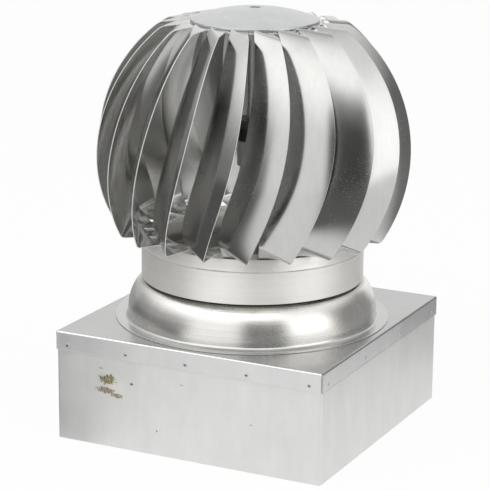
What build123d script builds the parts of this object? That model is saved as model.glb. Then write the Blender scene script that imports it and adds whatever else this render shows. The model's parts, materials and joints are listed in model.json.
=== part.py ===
"""Roof turbine ventilator: a square flashing base with a spun throat, and a bladed wheel
that turns on a sealed pair of ball bearings above it.

Millimetres.  +Z is up and the origin is the middle of the base's lower edge.
"""
from build123d import *
import math
import os

# ---- square base ----------------------------------------------------------
LID_SIDE = 300.0              # outside of the lid over its flanges
BASE_HEIGHT = 116.0           # lower edge of the skirt to the top of the lid
BASE_SHEET = 1.0              # sheet of the lid and the skirt
FLANGE_DROP = 20.0            # height of the lid's turned-down flanges
LID_BEND_RADIUS = 2.0         # outside radius of the lid's bends
CORNER_SLIT = 0.8             # open joint between two flanges
SKIRT_CORNER_RADIUS = 2.5
LID_RIVET_DROP = 14.0         # rivet line below the top of the lid
LID_RIVET_RADIUS = 1.3
LID_RIVET_HEAD = 2.1          # radius of the head
LONG_SIDE_RIVETS = 5
SHORT_SIDE_RIVETS = 4
LID_RIVET_INSET = 14.0        # last rivet to the corner of the lid

# ---- spun collar and neck ---------------------------------------------------
NECK_RADIUS = 105.0           # outside of the neck
COLLAR_SHEET = 0.8
BULGE_RADIUS = 130.5          # widest part of the bulge
BULGE_HEIGHT = 45.0           # top of the bulge above the lid
FOOT_FILLET = 3.5             # concave roll at the foot of the bulge
NECK_FILLET = 3.0             # concave roll between bulge and neck
FOOT_FLANGE = 9.5             # flat flange of the collar on the lid
NECK_OVERLAP = 18.0           # height of the neck inside the band
THROAT_LAP = 12.0             # width of the lid under the collar

# ---- band and lower ring of the wheel ---------------------------------------
WHEEL_SHEET = 0.8
BAND_GAP = 43.5               # lid to the lower edge of the band
BAND_HEIGHT = 32.0
BAND_CLEARANCE = 11.0         # neck to the outside of the band
RING_LEG = 12.0               # leg of the lower ring inside the band
RING_RISE = 13.5              # top of the band to the top of the ring
RING_TAPER = 3.5              # shoulder of the ring inside the band's face
RING_FLANGE = 20.0            # width of the ring's inward flange
RING_BEAD = 0.9               # roll of the ring that sits on the band's edge

# ---- blades -----------------------------------------------------------------
BLADE_COUNT = 20
BLADE_SHEET = 0.8
FIRST_BLADE_ANGLE = -64.0     # azimuth of the first blade's reference plane
BLADE_RISE = 217.5            # lower tip to upper outer corner
TIP_LIFT = 1.2                # lower tip above the ring
CROWN_RADIUS = 162.5          # free edge of the blades at its widest
CROWN_LIFT = 86.0             # widest place above the ring
CROWN_TOP_RADIUS = 97.6       # upper end of the free edge
ROOT_RADIUS = 133.0           # inner edge of the blades at its widest
ROOT_LIFT = 75.0
ROOT_TOP_RADIUS = 73.1
LOWER_CUT_RISE = 15.0         # the lower fold slants up towards the inner edge
UPPER_CUT_RISE = 5.0
OUTER_LEAN = 17.0             # degrees that the free edge runs round from tip to top
OUTER_LEAN_POWER = 2.2
OUTER_TOP_AZIMUTH = 14.6
INNER_AZIMUTHS = (-15.0, -12.8, -8.4, -4.9, -2.6, -0.8, 0.2, -0.5)
BLADE_CAMBER = 3.0
BLADE_SECTIONS = 8
TAB_SPAN = 12.0               # degrees taken up by a folded tab
LOWER_TAB_CENTRE = -9.0       # azimuth of the lower tab in the blade's own frame
UPPER_TAB_CENTRE = 6.0
TAB_EDGE_MARGIN = 1.5         # tab's fold to the edge of the sheet that it lies on
LOWER_TAB_DEPTH = 14.0
UPPER_TAB_DEPTH = 16.0
TAB_RIVET_RADIUS = 1.6
TAB_RIVET_HEAD = 2.8
RIVET_HEAD_HEIGHT = 0.9

# ---- top plate, cap and hub flange --------------------------------------------
TOP_PLATE_RADIUS = 70.0
TOP_PLATE_SHEET = 1.5
CAP_RADIUS = 66.0
CAP_LIP = 2.5
CAP_RISE = 12.0
CAP_SHEET = 0.8
CAP_HOLE_RADIUS = 5.6
HUB_FLANGE_RADIUS = 24.0
HUB_FLANGE_HEIGHT = 4.0
HUB_BOSS_RADIUS = 10.0
HUB_BOSS_HEIGHT = 12.0
HUB_BOLTS = 4
HUB_BOLT_CIRCLE = 17.0
HUB_BOLT_RADIUS = 2.5
HUB_BOLT_HEAD = 4.4
HUB_BOLT_HEAD_HEIGHT = 2.8

# ---- spindle, bearings and housing --------------------------------------------
HOUSING_RADIUS = 17.0
HOUSING_CENTRE = 193.0        # middle of the bearing pair above the lid
POST_SOCKET_DEPTH = 10.0
HOUSING_WEB = 3.0
NUT_CHAMBER_RADIUS = 9.5
NUT_CHAMBER_DEPTH = 9.0
BEARING_BORE = 5.0            # radius of the spindle in the races
INNER_RACE_RADIUS = 7.3
OUTER_RACE_RADIUS = 10.7
BEARING_RADIUS = 13.0
BEARING_WIDTH = 8.0
BALL_RADIUS = 2.4
BALLS = 7
BALL_GAP = 0.1                # play of a ball in its groove and pocket
CAGE_WALL = 1.2
CAGE_WIDTH = 6.4
SPACER_WIDTH = 6.0
CIRCLIP_WIDTH = 1.2
CIRCLIP_DEPTH = 1.0
CIRCLIP_REACH = 1.4
HOUSING_RIM = 1.8             # housing above the circlip
SPINDLE_RADIUS = 6.5
SHOULDER_HEIGHT = 16.0
SHOULDER_RADIUS = 7.3
THREAD_RADIUS = 4.0           # lower thread of the spindle
LOWER_NUT_HEIGHT = 6.5
LOWER_NUT_FLATS = 13.0
TOP_THREAD_RADIUS = 5.0
TOP_NUT_HEIGHT = 8.0
TOP_NUT_FLATS = 16.0
WASHER_THICKNESS = 1.6
WASHER_RADIUS = 10.0
SPINDLE_TOP_GAP = 0.6         # spindle's end to the outside of the cap
DUST_CAP_SHEET = 1.2
DUST_CAP_SKIRT = 6.0
DUST_CAP_GAP = 1.0            # running gap between dust cap and housing

# ---- cross bar and post ---------------------------------------------------------
BAR_WIDTH = 30.0
BAR_THICKNESS = 3.0
BAR_TAB = 15.0                # turned-down ends
BAR_DROP = 2.0                # bar below the neck's edge
BAR_RIVETS_APART = 16.0
BAR_RIVET_LEVEL = 4.4         # rivet line below the bar's underside
BAR_RIVET_RADIUS = 2.4
BAR_RIVET_HEAD = 3.9
POST_RADIUS = 9.0
POST_SPIGOT_RADIUS = 7.0
POST_STUD_RADIUS = 6.0
POST_NUT_FLATS = 19.0
POST_NUT_HEIGHT = 8.0
POST_STUD_END = 2.0           # stud below its nut

# ---- levels ------------------------------------------------------------------
LID_TOP = BASE_HEIGHT
BAND_BOTTOM = LID_TOP + BAND_GAP
BAND_TOP = BAND_BOTTOM + BAND_HEIGHT
NECK_TOP = BAND_BOTTOM + NECK_OVERLAP
RING_TOP = BAND_TOP + RING_RISE
BAND_RADIUS = NECK_RADIUS + BAND_CLEARANCE
RING_SHOULDER_RADIUS = BAND_RADIUS - RING_TAPER
TIP_LEVEL = RING_TOP + TIP_LIFT
PLATE_TOP = TIP_LEVEL + BLADE_RISE + TIP_LIFT
PLATE_BOTTOM = PLATE_TOP - TOP_PLATE_SHEET
CAP_BOTTOM = PLATE_TOP + BLADE_SHEET
CAP_TOP = CAP_BOTTOM + CAP_LIP + CAP_RISE
BAR_TOP = NECK_TOP - BAR_DROP
BAR_BOTTOM = BAR_TOP - BAR_THICKNESS
PAIR_WIDTH = 2 * BEARING_WIDTH + SPACER_WIDTH
LOWER_BEARING = LID_TOP + HOUSING_CENTRE - PAIR_WIDTH / 2
UPPER_BEARING = LOWER_BEARING + BEARING_WIDTH + SPACER_WIDTH
PAIR_TOP = LOWER_BEARING + PAIR_WIDTH
CHAMBER_FLOOR = LOWER_BEARING - NUT_CHAMBER_DEPTH
SOCKET_TOP = CHAMBER_FLOOR - HOUSING_WEB
HOUSING_BOTTOM = SOCKET_TOP - POST_SOCKET_DEPTH
HOUSING_TOP = PAIR_TOP + CIRCLIP_WIDTH + HOUSING_RIM
HUB_TOP = PLATE_BOTTOM
BOSS_BOTTOM = HUB_TOP - HUB_FLANGE_HEIGHT - HUB_BOSS_HEIGHT
PITCH_RADIUS = (INNER_RACE_RADIUS + OUTER_RACE_RADIUS) / 2

os.makedirs("parts", exist_ok=True)


def save(shape, name):
    """Write one sub-part; a list of solids is written as one group."""
    if isinstance(shape, list):
        shape = Compound(children=shape)
    export_step(shape, os.path.join("parts", name + ".step"))


def at(radius, degrees, z):
    """Point given by radius, azimuth and height."""
    angle = math.radians(degrees)
    return Vector(radius * math.cos(angle), radius * math.sin(angle), z)


def rod(radius, bottom, top):
    """Upright cylinder on the axis."""
    return Pos(0, 0, bottom) * Cylinder(radius, top - bottom, align=(Align.CENTER, Align.CENTER, Align.MIN))


def tube(outer, inner, bottom, top):
    return rod(outer, bottom, top) - rod(inner, bottom - 1, top + 1)


def hexagon(flats, bore, bottom, height):
    """Hexagon nut on the axis."""
    blank = extrude(Plane.XY.offset(bottom) * RegularPolygon(flats / math.sqrt(3), 6), height)
    return blank - rod(bore, bottom - 1, bottom + height + 1)


def spun_sheet(path, sheet):
    """Revolve a sheet whose outer face follows the path, which runs up and inwards."""
    outline = path.offset_2d(sheet, kind=Kind.ARC, side=Side.RIGHT, closed=True)
    return Part(Solid.revolve(Face(outline), 360, Axis.Z).wrapped)


def line(start, end):
    """Straight piece of a profile, given as (radius, z) pairs."""
    return Edge.make_line((start[0], 0, start[1]), (end[0], 0, end[1]))


def around(shape, count, first=0.0):
    """Copies of a shape turned evenly about the axis."""
    return [Rot(0, 0, first + 360 * i / count) * shape for i in range(count)]


def blind_rivet(shank, head, grip, height=RIVET_HEAD_HEIGHT):
    """Rivet along -Z: the domed head sits on z = 0 and the tail is set under the grip."""
    dome_radius = (head ** 2 + height ** 2) / (2 * height)
    dome = Pos(0, 0, height - dome_radius) * Sphere(dome_radius)
    top = dome & rod(head, 0, height)
    body = rod(shank, -grip, 0)
    tail = rod(shank + height / 2, -grip - height, -grip)
    return top + body + tail


# ---- square base ----------------------------------------------------------

def side_rivet_places():
    """(turn about Z, distance along the side) of every rivet in the lid's flanges."""
    reach = LID_SIDE / 2 - LID_RIVET_INSET
    places = []
    for turn, count in ((0, LONG_SIDE_RIVETS), (90, SHORT_SIDE_RIVETS),
                        (180, LONG_SIDE_RIVETS), (270, SHORT_SIDE_RIVETS)):
        for i in range(count):
            places.append((turn, -reach + 2 * reach * i / (count - 1)))
    return places


def on_side(shape, turn, along, depth):
    """Put a +Z feature on a side wall: +Z becomes outward, at the rivet line."""
    level = LID_TOP - LID_RIVET_DROP
    return Rot(0, 0, turn) * Pos(along, -depth, level) * Rot(90, 0, 0) * shape


def rivet_holes():
    drill = rod(LID_RIVET_RADIUS, -10, 10)
    return [on_side(drill, turn, along, LID_SIDE / 2) for turn, along in side_rivet_places()]


def base_lid():
    half = LID_SIDE / 2
    inner = LID_SIDE - 2 * BASE_SHEET
    block = Pos(0, 0, LID_TOP - FLANGE_DROP / 2) * Box(LID_SIDE, LID_SIDE, FLANGE_DROP)
    block = fillet(block.edges().group_by(Axis.Z)[-1], LID_BEND_RADIUS)
    hollow = Pos(0, 0, LID_TOP - BASE_SHEET - FLANGE_DROP / 2) * Box(inner, inner, FLANGE_DROP)
    inner_bend = LID_BEND_RADIUS - BASE_SHEET
    hollow = fillet(hollow.edges().group_by(Axis.Z)[-1], inner_bend)
    lid = block - hollow - rod(NECK_RADIUS + THROAT_LAP, LID_TOP - 5, LID_TOP + 5)
    slit_height = FLANGE_DROP - LID_BEND_RADIUS
    for quarter in range(4):
        corner = Pos(half, half, LID_TOP - LID_BEND_RADIUS - slit_height / 2)
        slit = Rot(0, 0, 90 * quarter) * corner * Rot(0, 0, 45) * Box(8, CORNER_SLIT, slit_height)
        lid -= slit
    return lid - rivet_holes()


def base_skirt():
    """Sleeve inside the lid's flanges, with its upper edge against the lid."""
    outside = LID_SIDE - 2 * BASE_SHEET
    inside = outside - 2 * BASE_SHEET
    height = BASE_HEIGHT - BASE_SHEET
    sleeve = Box(outside, outside, height)
    sleeve = fillet(sleeve.edges().filter_by(Axis.Z), SKIRT_CORNER_RADIUS)
    sleeve = chamfer(sleeve.edges().group_by(Axis.Z)[-1], LID_BEND_RADIUS - BASE_SHEET)
    core = Box(inside, inside, height + 2)
    core = fillet(core.edges().filter_by(Axis.Z), SKIRT_CORNER_RADIUS - BASE_SHEET)
    return Pos(0, 0, height / 2) * (sleeve - core) - rivet_holes()


def lid_rivets():
    rivet = blind_rivet(LID_RIVET_RADIUS, LID_RIVET_HEAD, 2 * BASE_SHEET, 0.7)
    return [on_side(rivet, turn, along, LID_SIDE / 2) for turn, along in side_rivet_places()]


def quarter_ellipse(centre, across, height, start, end):
    """Arc of an upright ellipse, centred at a (radius, z) pair, between two angles."""
    frame = Plane(origin=(centre[0], 0, centre[1]), x_dir=(1, 0, 0), z_dir=(0, -1, 0))
    return Edge.make_ellipse(across, height, frame, start, end)


def collar_face(inset):
    """One face of the spun sheet, from the foot's edge to the neck's edge, moved in by inset."""
    level = LID_TOP + COLLAR_SHEET - inset
    roll = FOOT_FILLET + inset
    roll_centre = (BULGE_RADIUS + FOOT_FILLET, LID_TOP + COLLAR_SHEET + FOOT_FILLET)
    neck_centre = (NECK_RADIUS + NECK_FILLET, LID_TOP + BULGE_HEIGHT + NECK_FILLET)
    turn = NECK_FILLET + inset
    radius = NECK_RADIUS - inset
    return [
        line((roll_centre[0] + FOOT_FLANGE, level), (roll_centre[0], level)),
        quarter_ellipse(roll_centre, roll, roll, 180, 270),
        quarter_ellipse((neck_centre[0], roll_centre[1]), BULGE_RADIUS - inset - neck_centre[0],
                        neck_centre[1] - turn - roll_centre[1], 0, 90),
        quarter_ellipse(neck_centre, turn, turn, 180, 270),
        line((radius, neck_centre[1]), (radius, NECK_TOP)),
    ]


def throat_collar():
    """Foot flange, concave roll, bulge and straight neck, spun from one sheet."""
    outside = collar_face(0)
    inside = collar_face(COLLAR_SHEET)
    foot_edge = Edge.make_line(outside[0] @ 0, inside[0] @ 0)
    neck_edge = Edge.make_line(outside[-1] @ 1, inside[-1] @ 1)
    outline = Wire(outside + inside + [foot_edge, neck_edge])
    collar = Part(Solid.revolve(Face(outline), 360, Axis.Z).wrapped)
    return collar - bar_rivet_bores()


# ---- cross bar and post ---------------------------------------------------------

def bar_rivet_frames():
    """Places of the cross bar's rivets: +Z points outwards from the neck."""
    level = BAR_BOTTOM - BAR_RIVET_LEVEL
    frames = []
    for turn in (0, 180):
        for side in (-1, 1):
            angle = turn + math.degrees(math.asin(side * BAR_RIVETS_APART / 2 / NECK_RADIUS))
            frames.append(Rot(0, 0, angle) * Pos(NECK_RADIUS, 0, level) * Rot(0, 90, 0))
    return frames


def bar_rivet_bores():
    drill = rod(BAR_RIVET_RADIUS, -BAR_THICKNESS - 4, 4)
    return [frame * drill for frame in bar_rivet_frames()]


def cross_bar():
    """Flat bar whose ends are turned down and dressed to the neck's inner wall."""
    wall = NECK_RADIUS - COLLAR_SHEET
    deep = BAR_THICKNESS + BAR_TAB
    blank = Pos(0, 0, BAR_TOP - deep / 2) * Box(2 * NECK_RADIUS, BAR_WIDTH, deep)
    under = Pos(0, 0, BAR_BOTTOM - BAR_TAB) * Box(
        2 * (wall - BAR_THICKNESS - 1.2), BAR_WIDTH + 2, 2 * BAR_TAB)
    under = fillet(under.edges().filter_by(Axis.Y).group_by(Axis.Z)[-1], 0.8)
    bar = (blank & rod(wall, BAR_BOTTOM - BAR_TAB, BAR_TOP)) - under
    return bar - rod(POST_STUD_RADIUS, BAR_BOTTOM - 1, BAR_TOP + 1) - bar_rivet_bores()


def cross_bar_rivets():
    """Heads outside the neck; the flat under each head bridges the neck's curve."""
    grip = COLLAR_SHEET + BAR_THICKNESS + 1.2
    rivet = blind_rivet(BAR_RIVET_RADIUS, BAR_RIVET_HEAD, grip, 1.4)
    return [frame * rivet for frame in bar_rivet_frames()]


def bearing_post():
    """Post with a spigot in the housing and a stud through the cross bar."""
    stud_bottom = BAR_BOTTOM - WASHER_THICKNESS - POST_NUT_HEIGHT - POST_STUD_END
    body = rod(POST_RADIUS, BAR_TOP + WASHER_THICKNESS, HOUSING_BOTTOM)
    stud = rod(POST_STUD_RADIUS, stud_bottom, BAR_TOP + WASHER_THICKNESS)
    spigot = rod(POST_SPIGOT_RADIUS, HOUSING_BOTTOM, SOCKET_TOP)
    return body + stud + spigot


def post_washers():
    radius = POST_NUT_FLATS / 2 + 2
    return [tube(radius, POST_STUD_RADIUS, BAR_TOP, BAR_TOP + WASHER_THICKNESS),
            tube(radius, POST_STUD_RADIUS, BAR_BOTTOM - WASHER_THICKNESS, BAR_BOTTOM)]


def post_nut():
    return hexagon(POST_NUT_FLATS, POST_STUD_RADIUS, BAR_BOTTOM - WASHER_THICKNESS - POST_NUT_HEIGHT,
                   POST_NUT_HEIGHT)


# ---- bearings -------------------------------------------------------------------

def bearing_housing():
    """Turned cup: post socket below, nut chamber, bearing bore and circlip groove."""
    body = rod(HOUSING_RADIUS, HOUSING_BOTTOM, HOUSING_TOP)
    body = chamfer(body.edges(), 0.8)
    body -= rod(POST_SPIGOT_RADIUS, HOUSING_BOTTOM - 1, SOCKET_TOP)
    body -= rod(NUT_CHAMBER_RADIUS, CHAMBER_FLOOR, LOWER_BEARING + 1)
    body -= rod(BEARING_RADIUS, LOWER_BEARING, HOUSING_TOP + 1)
    return body - rod(BEARING_RADIUS + CIRCLIP_DEPTH, PAIR_TOP, PAIR_TOP + CIRCLIP_WIDTH)


def groove(bottom):
    """Ball track of a bearing."""
    return Pos(0, 0, bottom + BEARING_WIDTH / 2) * Torus(PITCH_RADIUS, BALL_RADIUS + BALL_GAP)


def outer_race(bottom):
    return tube(BEARING_RADIUS, OUTER_RACE_RADIUS, bottom, bottom + BEARING_WIDTH) - groove(bottom)


def inner_race(bottom):
    return tube(INNER_RACE_RADIUS, BEARING_BORE, bottom, bottom + BEARING_WIDTH) - groove(bottom)


def balls(bottom):
    middle = bottom + BEARING_WIDTH / 2
    return around(Pos(PITCH_RADIUS, 0, middle) * Sphere(BALL_RADIUS), BALLS)


def cage(bottom):
    """Ring between the races with a round pocket for each ball."""
    middle = bottom + BEARING_WIDTH / 2
    ring = tube(PITCH_RADIUS + CAGE_WALL / 2, PITCH_RADIUS - CAGE_WALL / 2,
                middle - CAGE_WIDTH / 2, middle + CAGE_WIDTH / 2)
    pocket = Pos(PITCH_RADIUS, 0, middle) * Rot(0, 90, 0) * rod(BALL_RADIUS + BALL_GAP, -3, 3)
    return ring - around(pocket, BALLS)


def housing_circlip():
    """Open ring sprung into the housing's groove."""
    ring = tube(BEARING_RADIUS + CIRCLIP_DEPTH, BEARING_RADIUS - CIRCLIP_REACH,
                PAIR_TOP, PAIR_TOP + CIRCLIP_WIDTH)
    return ring - Pos(BEARING_RADIUS, 0, PAIR_TOP) * Box(8, 6, 4 * CIRCLIP_WIDTH)


# ---- spindle and hub -------------------------------------------------------------

def spindle():
    """Lower thread, bearing journal, shoulder, shank and upper thread in one turned bar."""
    shoulder_top = PAIR_TOP + SHOULDER_HEIGHT
    return (rod(THREAD_RADIUS, LOWER_BEARING - LOWER_NUT_HEIGHT - 1, LOWER_BEARING)
            + rod(BEARING_BORE, LOWER_BEARING, PAIR_TOP)
            + rod(SHOULDER_RADIUS, PAIR_TOP, shoulder_top)
            + rod(SPINDLE_RADIUS, shoulder_top, BOSS_BOTTOM)
            + rod(TOP_THREAD_RADIUS, BOSS_BOTTOM, CAP_TOP - SPINDLE_TOP_GAP))


def dust_cap():
    """Cup on the spindle's shoulder over the top of the housing."""
    inside = HOUSING_RADIUS + DUST_CAP_GAP
    under = HOUSING_TOP + DUST_CAP_GAP
    top = under + DUST_CAP_SHEET
    cup = rod(inside + DUST_CAP_SHEET, HOUSING_TOP - DUST_CAP_SKIRT, top)
    cup = fillet(cup.edges().group_by(Axis.Z)[-1], 1.0)
    cup -= rod(inside, HOUSING_TOP - DUST_CAP_SKIRT - 1, under)
    return cup - rod(SHOULDER_RADIUS, under - 1, top + 1)


def hub_bolt_places():
    return around(Pos(HUB_BOLT_CIRCLE, 0, 0), HUB_BOLTS, 45)


def hub_bolt_bores():
    return [place * rod(HUB_BOLT_RADIUS, HUB_TOP - HUB_FLANGE_HEIGHT - 9, PLATE_TOP + 9)
            for place in hub_bolt_places()]


def hub_flange():
    """Flanged bush under the top plate."""
    flange = rod(HUB_FLANGE_RADIUS, HUB_TOP - HUB_FLANGE_HEIGHT, HUB_TOP)
    boss = rod(HUB_BOSS_RADIUS, BOSS_BOTTOM, HUB_TOP - HUB_FLANGE_HEIGHT)
    bore = rod(TOP_THREAD_RADIUS, BOSS_BOTTOM - 1, HUB_TOP + 1)
    return flange + boss - bore - hub_bolt_bores()


def hub_bolts():
    """Button-headed bolts down through the top plate and the flange."""
    bottom = HUB_TOP - HUB_FLANGE_HEIGHT - HUB_BOLT_HEAD_HEIGHT - 1.5
    bolt = rod(HUB_BOLT_RADIUS, bottom, PLATE_TOP) + rod(
        HUB_BOLT_HEAD, PLATE_TOP, PLATE_TOP + HUB_BOLT_HEAD_HEIGHT)
    bolt = fillet(bolt.edges().group_by(Axis.Z)[-1], 1.2)
    return [place * bolt for place in hub_bolt_places()]


def hub_nuts():
    nut = hexagon(2 * HUB_BOLT_HEAD, HUB_BOLT_RADIUS,
                  HUB_TOP - HUB_FLANGE_HEIGHT - HUB_BOLT_HEAD_HEIGHT, HUB_BOLT_HEAD_HEIGHT)
    return [place * nut for place in hub_bolt_places()]


# ---- blades -----------------------------------------------------------------

def edge_radius(z, widest, lift, top_radius, top):
    """Radius of an ellipse about the axis: widest at its lift, top_radius at the level top."""
    centre = RING_TOP + lift
    narrowing = 1 - (top_radius / widest) ** 2
    return widest * math.sqrt(1 - narrowing * ((z - centre) / (top - centre)) ** 2)


def crown_radius(z):
    """Radius of the free edges."""
    return edge_radius(z, CROWN_RADIUS, CROWN_LIFT, CROWN_TOP_RADIUS, TIP_LEVEL + BLADE_RISE)


def root_radius(z):
    """Radius of the inner edges."""
    top = TIP_LEVEL + BLADE_RISE + UPPER_CUT_RISE
    return edge_radius(z, ROOT_RADIUS, ROOT_LIFT, ROOT_TOP_RADIUS, top)


def inner_azimuth(share):
    """Azimuth of the inner edge, read between its evenly spaced values."""
    place = share * (len(INNER_AZIMUTHS) - 1)
    low = min(int(place), len(INNER_AZIMUTHS) - 2)
    part = place - low
    return INNER_AZIMUTHS[low] * (1 - part) + INNER_AZIMUTHS[low + 1] * part


def blade_edges(share):
    """Outer and inner edge points of a blade; share runs from its foot to its top."""
    z = TIP_LEVEL + share * BLADE_RISE
    azimuth = OUTER_TOP_AZIMUTH - OUTER_LEAN * (1 - share) ** OUTER_LEAN_POWER
    z_inner = z + LOWER_CUT_RISE + share * (UPPER_CUT_RISE - LOWER_CUT_RISE)
    return at(crown_radius(z), azimuth, z), at(root_radius(z_inner), inner_azimuth(share), z_inner)


def sheet_section(outer, inner, skin, camber=0.0):
    """Closed section of a bent sheet; skin points from the outer face to the inner one."""
    bow = skin.normalized() * (-2 * camber)
    middle = (outer + inner) * 0.5 + bow
    return Wire([
        Edge.make_bezier(inner, middle, outer),
        Edge.make_line(outer, outer + skin),
        Edge.make_bezier(outer + skin, middle + skin, inner + skin),
        Edge.make_line(inner + skin, inner)])


def blade_section(share):
    outer, inner = blade_edges(share)
    above = blade_edges(min(share + 0.01, 1.0))
    below = blade_edges(max(share - 0.01, 0.0))
    rise = (above[0] + above[1]) - (below[0] + below[1])
    skin = rise.cross(outer - inner).normalized() * BLADE_SHEET
    if skin.dot(Vector(outer.X, outer.Y, 0)) > 0:
        skin = skin * -1
    return sheet_section(outer, inner, skin, BLADE_CAMBER * math.sin(math.pi * share))


def tab_section(radius, centre, level, skin):
    half = TAB_SPAN / 2
    return sheet_section(at(radius, centre + half, level), at(radius, centre - half, level), skin)


def walls(sections, ruled=True):
    """Faces of a loft without its end faces."""
    faces = Solid.make_loft(sections, ruled).faces()
    for rim in (sections[0], sections[-1]):
        middle = Face(rim).center()
        faces = sorted(faces, key=lambda face: face.distance_to(middle))[1:]
    return faces


def blade():
    """Twisted blade with its two folded tabs, in its own frame: one skin of five lofts end to end."""
    sections = [blade_section(i / (BLADE_SECTIONS - 1)) for i in range(BLADE_SECTIONS)]
    up = Vector(0, 0, BLADE_SHEET)
    lower_edge = RING_SHOULDER_RADIUS - TAB_EDGE_MARGIN
    upper_edge = TOP_PLATE_RADIUS - TAB_EDGE_MARGIN
    lower = [tab_section(radius, LOWER_TAB_CENTRE, RING_TOP, up)
             for radius in (lower_edge, lower_edge - LOWER_TAB_DEPTH)]
    upper = [tab_section(radius, UPPER_TAB_CENTRE, CAP_BOTTOM, up * -1)
             for radius in (upper_edge, upper_edge - UPPER_TAB_DEPTH)]
    skin = walls(sections, False)
    for pair in ([sections[0], lower[0]], lower, [sections[-1], upper[0]], upper):
        skin += walls(pair)
    skin += [Face(lower[1]), Face(upper[1])]
    whole = Part(Solid(Shell(skin)).wrapped)
    return whole - lower_rivet_bore() - upper_rivet_bore()


def lower_rivet_place():
    return Rot(0, 0, LOWER_TAB_CENTRE) * Pos(
        RING_SHOULDER_RADIUS - TAB_EDGE_MARGIN - LOWER_TAB_DEPTH / 2, 0, RING_TOP + BLADE_SHEET)


def upper_rivet_place():
    return Rot(0, 0, UPPER_TAB_CENTRE) * Pos(
        TOP_PLATE_RADIUS - TAB_EDGE_MARGIN - UPPER_TAB_DEPTH / 2, 0, CAP_BOTTOM)


def lower_rivet_bore():
    return lower_rivet_place() * rod(TAB_RIVET_RADIUS, -3, 3)


def upper_rivet_bore():
    return upper_rivet_place() * rod(TAB_RIVET_RADIUS, -4, 3)


# ---- wheel ----------------------------------------------------------------------

def skirt_band():
    return tube(BAND_RADIUS, BAND_RADIUS - WHEEL_SHEET, BAND_BOTTOM, BAND_TOP)


def lower_ring():
    """Leg inside the band, bead on its edge, cone and inward flange."""
    leg = BAND_RADIUS - WHEEL_SHEET
    path = Wire([
        line((leg, BAND_TOP - RING_LEG), (leg, BAND_TOP)),
        line((leg, BAND_TOP), (BAND_RADIUS + RING_BEAD, BAND_TOP)),
        line((BAND_RADIUS + RING_BEAD, BAND_TOP), (BAND_RADIUS + RING_BEAD, BAND_TOP + WHEEL_SHEET)),
        line((BAND_RADIUS + RING_BEAD, BAND_TOP + WHEEL_SHEET), (leg, BAND_TOP + 2 * WHEEL_SHEET)),
        line((leg, BAND_TOP + 2 * WHEEL_SHEET), (RING_SHOULDER_RADIUS, RING_TOP)),
        line((RING_SHOULDER_RADIUS, RING_TOP), (RING_SHOULDER_RADIUS - RING_FLANGE, RING_TOP)),
        line((RING_SHOULDER_RADIUS - RING_FLANGE, RING_TOP),
             (RING_SHOULDER_RADIUS - RING_FLANGE, RING_TOP - WHEEL_SHEET)),
        line((RING_SHOULDER_RADIUS - RING_FLANGE, RING_TOP - WHEEL_SHEET),
             (RING_SHOULDER_RADIUS - WHEEL_SHEET, RING_TOP - WHEEL_SHEET)),
        line((RING_SHOULDER_RADIUS - WHEEL_SHEET, RING_TOP - WHEEL_SHEET),
             (leg - WHEEL_SHEET, BAND_TOP + WHEEL_SHEET)),
        line((leg - WHEEL_SHEET, BAND_TOP + WHEEL_SHEET), (leg - WHEEL_SHEET, BAND_TOP - RING_LEG)),
        line((leg - WHEEL_SHEET, BAND_TOP - RING_LEG), (leg, BAND_TOP - RING_LEG)),
    ])
    ring = Part(Solid.revolve(Face(path), 360, Axis.Z).wrapped)
    return ring - around(lower_rivet_bore(), BLADE_COUNT, FIRST_BLADE_ANGLE)


def tab_rivets(place, grip):
    rivet = place * blind_rivet(TAB_RIVET_RADIUS, TAB_RIVET_HEAD, grip)
    return around(rivet, BLADE_COUNT, FIRST_BLADE_ANGLE)


def top_plate():
    plate = tube(TOP_PLATE_RADIUS, TOP_THREAD_RADIUS, PLATE_BOTTOM, PLATE_TOP)
    return plate - around(upper_rivet_bore(), BLADE_COUNT, FIRST_BLADE_ANGLE) - hub_bolt_bores()


def cap():
    """Shallow dome with a turned-down lip and a hole over the spindle's end."""
    sphere = (CAP_RADIUS ** 2 + CAP_RISE ** 2) / (2 * CAP_RISE)
    lip_top = CAP_BOTTOM + CAP_LIP
    centre = lip_top + CAP_RISE - sphere
    hole_level = centre + math.sqrt(sphere ** 2 - CAP_HOLE_RADIUS ** 2)
    half_way = (CAP_RADIUS + CAP_HOLE_RADIUS) / 2
    path = Wire([
        line((CAP_RADIUS, CAP_BOTTOM), (CAP_RADIUS, lip_top)),
        Edge.make_three_point_arc(
            Vector(CAP_RADIUS, 0, lip_top),
            Vector(half_way, 0, centre + math.sqrt(sphere ** 2 - half_way ** 2)),
            Vector(CAP_HOLE_RADIUS, 0, hole_level))])
    return spun_sheet(path, CAP_SHEET)


# ---- all sub-parts --------------------------------------------------------------

save(base_lid(), "base_lid")
save(base_skirt(), "base_skirt")
save(lid_rivets(), "lid_rivets")
save(throat_collar(), "throat_collar")
save(cross_bar(), "cross_bar")
save(cross_bar_rivets(), "cross_bar_rivets")
save(bearing_post(), "bearing_post")
save(post_washers(), "post_washers")
save(post_nut(), "post_nut")
save(bearing_housing(), "bearing_housing")
save(housing_circlip(), "housing_circlip")
save(tube(BEARING_RADIUS, OUTER_RACE_RADIUS, LOWER_BEARING + BEARING_WIDTH, UPPER_BEARING), "outer_spacer")
save(tube(INNER_RACE_RADIUS, BEARING_BORE, LOWER_BEARING + BEARING_WIDTH, UPPER_BEARING), "inner_spacer")
for label, bottom in (("lower", LOWER_BEARING), ("upper", UPPER_BEARING)):
    save(outer_race(bottom), label + "_outer_race")
    save(inner_race(bottom), label + "_inner_race")
    save(balls(bottom), label + "_balls")
    save(cage(bottom), label + "_cage")

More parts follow.
